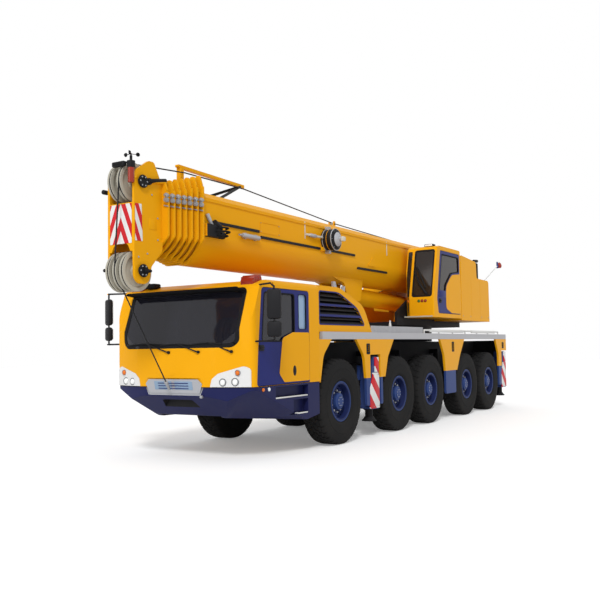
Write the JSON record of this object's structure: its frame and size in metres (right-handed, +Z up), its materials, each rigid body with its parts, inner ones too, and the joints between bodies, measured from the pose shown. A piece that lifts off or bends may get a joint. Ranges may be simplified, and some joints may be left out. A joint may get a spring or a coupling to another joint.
{
  "type": "mobile crane",
  "caption": "Road-going telescopic mobile crane: wide carrier on steered wheels with outriggers, slewing upper works, luffing boom with nested sections and sheave head.",
  "frame": {"origin": "on the ground under the middle of the whole crane", "axes": "+X forward over the driver's cab, +Y to the vehicle's left, +Z up"},
  "size_m": [13.6, 3.6, 4.5996],
  "materials": {
    "yellow_paint": "gloss",
    "blue_paint": "gloss",
    "grey_paint": "satin",
    "black_steel": "satin",
    "tyre_rubber": "matte",
    "glass": "tinted",
    "cream_nylon": "satin",
    "bright_steel": "polished"
  },
  "bodies": {
    "carrier": {"chassis_frame": "black_steel", "axles": "black_steel", "driver_cab": "yellow_paint", "cab_glass": "glass", "engine_hood": "yellow_paint", "side_decks": "grey_paint", "side_panels": "yellow_paint"},
    "wheel_1_left": {"tyre_1_left": "tyre_rubber", "rim_1_left": "blue_paint"},
    "knuckle_1_left": {"knuckle_1_left": "black_steel"},
    "wheel_1_right": {"tyre_1_right": "tyre_rubber", "rim_1_right": "blue_paint"},
    "knuckle_1_right": {"knuckle_1_right": "black_steel"},
    "wheel_2_left": {"tyre_2_left": "tyre_rubber", "rim_2_left": "blue_paint"},
    "knuckle_2_left": {"knuckle_2_left": "black_steel"},
    "wheel_2_right": {"tyre_2_right": "tyre_rubber", "rim_2_right": "blue_paint"},
    "knuckle_2_right": {"knuckle_2_right": "black_steel"},
    "wheel_3_left": {"tyre_3_left": "tyre_rubber", "rim_3_left": "blue_paint"},
    "wheel_3_right": {"tyre_3_right": "tyre_rubber", "rim_3_right": "blue_paint"},
    "wheel_4_left": {"tyre_4_left": "tyre_rubber", "rim_4_left": "blue_paint"},
    "knuckle_4_left": {"knuckle_4_left": "black_steel"},
    "wheel_4_right": {"tyre_4_right": "tyre_rubber", "rim_4_right": "blue_paint"},
    "knuckle_4_right": {"knuckle_4_right": "black_steel"},
    "wheel_5_left": {"tyre_5_left": "tyre_rubber", "rim_5_left": "blue_paint"},
    "knuckle_5_left": {"knuckle_5_left": "black_steel"},
    "wheel_5_right": {"tyre_5_right": "tyre_rubber", "rim_5_right": "blue_paint"},
    "knuckle_5_right": {"knuckle_5_right": "black_steel"},
    "outrigger_beam_front_left": {"outrigger_beam_front_left": "yellow_paint"},
    "outrigger_jack_front_left": {"outrigger_jack_front_left": "black_steel"},
    "outrigger_beam_front_right": {"outrigger_beam_front_right": "yellow_paint"},
    "outrigger_jack_front_right": {"outrigger_jack_front_right": "black_steel"},
    "outrigger_beam_rear_left": {"outrigger_beam_rear_left": "yellow_paint"},
    "outrigger_jack_rear_left": {"outrigger_jack_rear_left": "black_steel"},
    "outrigger_beam_rear_right": {"outrigger_beam_rear_right": "yellow_paint"},
    "outrigger_jack_rear_right": {"outrigger_jack_rear_right": "black_steel"},
    "left_door": {"left_door": "blue_paint"},
    "right_door": {"right_door": "blue_paint"},
    "superstructure": {"turntable_frame": "black_steel", "crane_cab": "yellow_paint", "crane_cab_glass": "glass", "upper_housing": "yellow_paint"},
    "crane_cab_door": {"crane_cab_door": "blue_paint"},
    "boom_base": {"boom_base": "yellow_paint"},
    "boom_section_1": {"boom_section_1": "yellow_paint"},
    "boom_section_2": {"boom_section_2": "yellow_paint"},
    "boom_section_3": {"boom_section_3": "yellow_paint"},
    "boom_section_4": {"boom_section_4": "yellow_paint"},
    "boom_section_5": {"boom_section_5": "yellow_paint"},
    "boom_section_6": {"boom_section_6": "yellow_paint", "head_sheaves": "cream_nylon"},
    "luffing_barrel": {"luffing_barrel": "yellow_paint"},
    "luffing_rod": {"luffing_rod": "bright_steel"}
  },
  "joints": [
    {"name": "steer_1_left", "type": "hinge", "parent": "carrier", "child": "knuckle_1_left", "pos_m": [2.7, 0.93, 0.745], "axis": [0, 0, 1], "range_deg": [-28, 28]},
    {"name": "spin_1_left", "type": "hinge", "parent": "knuckle_1_left", "child": "wheel_1_left", "pos_m": [2.7, 1.16, 0.745], "axis": [0, 1, 0], "continuous": true},
    {"name": "steer_1_right", "type": "hinge", "parent": "carrier", "child": "knuckle_1_right", "pos_m": [2.7, -0.93, 0.745], "axis": [0, 0, 1], "range_deg": [-28.01, 28.01]},
    {"name": "spin_1_right", "type": "hinge", "parent": "knuckle_1_right", "child": "wheel_1_right", "pos_m": [2.7, -1.16, 0.745], "axis": [0, 1, 0], "continuous": true},
    {"name": "steer_2_left", "type": "hinge", "parent": "carrier", "child": "knuckle_2_left", "pos_m": [0.3, 0.93, 0.745], "axis": [0, 0, 1], "range_deg": [-17.37, 17.37]},
    {"name": "spin_2_left", "type": "hinge", "parent": "knuckle_2_left", "child": "wheel_2_left", "pos_m": [0.3, 1.16, 0.745], "axis": [0, 1, 0], "continuous": true},
    {"name": "steer_2_right", "type": "hinge", "parent": "carrier", "child": "knuckle_2_right", "pos_m": [0.3, -0.93, 0.745], "axis": [0, 0, 1], "range_deg": [-17.37, 17.37]},
    {"name": "spin_2_right", "type": "hinge", "parent": "knuckle_2_right", "child": "wheel_2_right", "pos_m": [0.3, -1.16, 0.745], "axis": [0, 1, 0], "continuous": true},
    {"name": "spin_3_left", "type": "hinge", "parent": "carrier", "child": "wheel_3_left", "pos_m": [-1.35, 1.16, 0.745], "axis": [0, 1, 0], "continuous": true},
    {"name": "spin_3_right", "type": "hinge", "parent": "carrier", "child": "wheel_3_right", "pos_m": [-1.35, -1.16, 0.745], "axis": [0, 1, 0], "continuous": true},
    {"name": "steer_4_left", "type": "hinge", "parent": "carrier", "child": "knuckle_4_left", "pos_m": [-3.6, 0.93, 0.745], "axis": [0, 0, 1], "range_deg": [-9.91, 9.91]},
    {"name": "spin_4_left", "type": "hinge", "parent": "knuckle_4_left", "child": "wheel_4_left", "pos_m": [-3.6, 1.16, 0.745], "axis": [0, 1, 0], "continuous": true},
    {"name": "steer_4_right", "type": "hinge", "parent": "carrier", "child": "knuckle_4_right", "pos_m": [-3.6, -0.93, 0.745], "axis": [0, 0, 1], "range_deg": [-9.91, 9.91]},
    {"name": "spin_4_right", "type": "hinge", "parent": "knuckle_4_right", "child": "wheel_4_right", "pos_m": [-3.6, -1.16, 0.745], "axis": [0, 1, 0], "continuous": true},
    {"name": "steer_5_left", "type": "hinge", "parent": "carrier", "child": "knuckle_5_left", "pos_m": [-5.25, 0.93, 0.745], "axis": [0, 0, 1], "range_deg": [-18, 18]},
    {"name": "spin_5_left", "type": "hinge", "parent": "knuckle_5_left", "child": "wheel_5_left", "pos_m": [-5.25, 1.16, 0.745], "axis": [0, 1, 0], "continuous": true},
    {"name": "steer_5_right", "type": "hinge", "parent": "carrier", "child": "knuckle_5_right", "pos_m": [-5.25, -0.93, 0.745], "axis": [0, 0, 1], "range_deg": [-18.01, 18.01]},
    {"name": "spin_5_right", "type": "hinge", "parent": "knuckle_5_right", "child": "wheel_5_right", "pos_m": [-5.25, -1.16, 0.745], "axis": [0, 1, 0], "continuous": true},
    {"name": "beam_front_left", "type": "slide", "parent": "carrier", "child": "outrigger_beam_front_left", "axis": [0, 1, 0], "range_m": [0, 1.65]},
    {"name": "jack_front_left", "type": "slide", "parent": "outrigger_beam_front_left", "child": "outrigger_jack_front_left", "axis": [0, 0, -1], "range_m": [0, 0.55]},
    {"name": "beam_front_right", "type": "slide", "parent": "carrier", "child": "outrigger_beam_front_right", "axis": [0, -1, 0], "range_m": [0, 1.65]},
    {"name": "jack_front_right", "type": "slide", "parent": "outrigger_beam_front_right", "child": "outrigger_jack_front_right", "axis": [0, 0, -1], "range_m": [0, 0.55]},
    {"name": "beam_rear_left", "type": "slide", "parent": "carrier", "child": "outrigger_beam_rear_left", "axis": [0, 1, 0], "range_m": [0, 1.65]},
    {"name": "jack_rear_left", "type": "slide", "parent": "outrigger_beam_rear_left", "child": "outrigger_jack_rear_left", "axis": [0, 0, -1], "range_m": [0, 0.55]},
    {"name": "beam_rear_right", "type": "slide", "parent": "carrier", "child": "outrigger_beam_rear_right", "axis": [0, -1, 0], "range_m": [0, 1.65]},
    {"name": "jack_rear_right", "type": "slide", "parent": "outrigger_beam_rear_right", "child": "outrigger_jack_rear_right", "axis": [0, 0, -1], "range_m": [0, 0.55]},
    {"name": "left_door_hinge", "type": "hinge", "parent": "carrier", "child": "left_door", "pos_m": [5.3, 1.385, 1.9], "axis": [0, 0, -1], "range_deg": [0, 70]},
    {"name": "right_door_hinge", "type": "hinge", "parent": "carrier", "child": "right_door", "pos_m": [5.3, -1.385, 1.9], "axis": [0, 0, 1], "range_deg": [0, 70]},
    {"name": "slew", "type": "hinge", "parent": "carrier", "child": "superstructure", "pos_m": [-2.5, 0, 2.05], "axis": [0, 0, 1], "continuous": true},
    {"name": "crane_cab_door_hinge", "type": "hinge", "parent": "superstructure", "child": "crane_cab_door", "pos_m": [-3.36, 1.35, 3.1], "axis": [0, 0, 1], "range_deg": [0, 70]},
    {"name": "luff", "type": "hinge", "parent": "superstructure", "child": "boom_base", "pos_m": [-4.6, 0, 3.35], "axis": [0, -1, 0], "range_deg": [0, 82]},
    {"name": "telescope_1", "type": "slide", "parent": "boom_base", "child": "boom_section_1", "axis": [1, 0, 0], "range_m": [0, 8]},
    {"name": "telescope_2", "type": "slide", "parent": "boom_section_1", "child": "boom_section_2", "axis": [1, 0, 0], "range_m": [-0.001, 8.001]},
    {"name": "telescope_3", "type": "slide", "parent": "boom_section_2", "child": "boom_section_3", "axis": [1, 0, 0], "range_m": [-0.001, 8.001]},
    {"name": "telescope_4", "type": "slide", "parent": "boom_section_3", "child": "boom_section_4", "axis": [1, 0, 0], "range_m": [-0.001, 8.001]},
    {"name": "telescope_5", "type": "slide", "parent": "boom_section_4", "child": "boom_section_5", "axis": [1, 0, 0], "range_m": [-0.001, 8.001]},
    {"name": "telescope_6", "type": "slide", "parent": "boom_section_5", "child": "boom_section_6", "axis": [1, 0, 0], "range_m": [-0.001, 8.001]},
    {"name": "barrel_pivot", "type": "hinge", "parent": "superstructure", "child": "luffing_barrel", "pos_m": [-3.3, 0, 2.7], "axis": [0, -1, 0], "range_deg": [-0.01, 89.47]},
    {"name": "rod_slide", "type": "slide", "parent": "luffing_barrel", "child": "luffing_rod", "axis": [0.9996, 0, 0.0294], "range_m": [-0.001, 1.8322]}
  ],
  "couplings": [
    {"joint": "steer_1_right", "follows": "steer_1_left", "ratio": 1},
    {"joint": "steer_2_left", "follows": "steer_1_left", "ratio": 0.62},
    {"joint": "steer_2_right", "follows": "steer_1_left", "ratio": 0.62},
    {"joint": "steer_4_left", "follows": "steer_5_left", "ratio": 0.55},
    {"joint": "steer_4_right", "follows": "steer_5_left", "ratio": 0.55},
    {"joint": "steer_5_right", "follows": "steer_5_left", "ratio": 1},
    {"joint": "telescope_2", "follows": "telescope_1", "ratio": 1},
    {"joint": "telescope_3", "follows": "telescope_1", "ratio": 1},
    {"joint": "telescope_4", "follows": "telescope_1", "ratio": 1},
    {"joint": "telescope_5", "follows": "telescope_1", "ratio": 1},
    {"joint": "telescope_6", "follows": "telescope_1", "ratio": 1},
    {"joint": "barrel_pivot", "follows": "luff", "ratio": 1.0905},
    {"joint": "rod_slide", "follows": "luff", "m_per_rad": 1.2767}
  ]
}
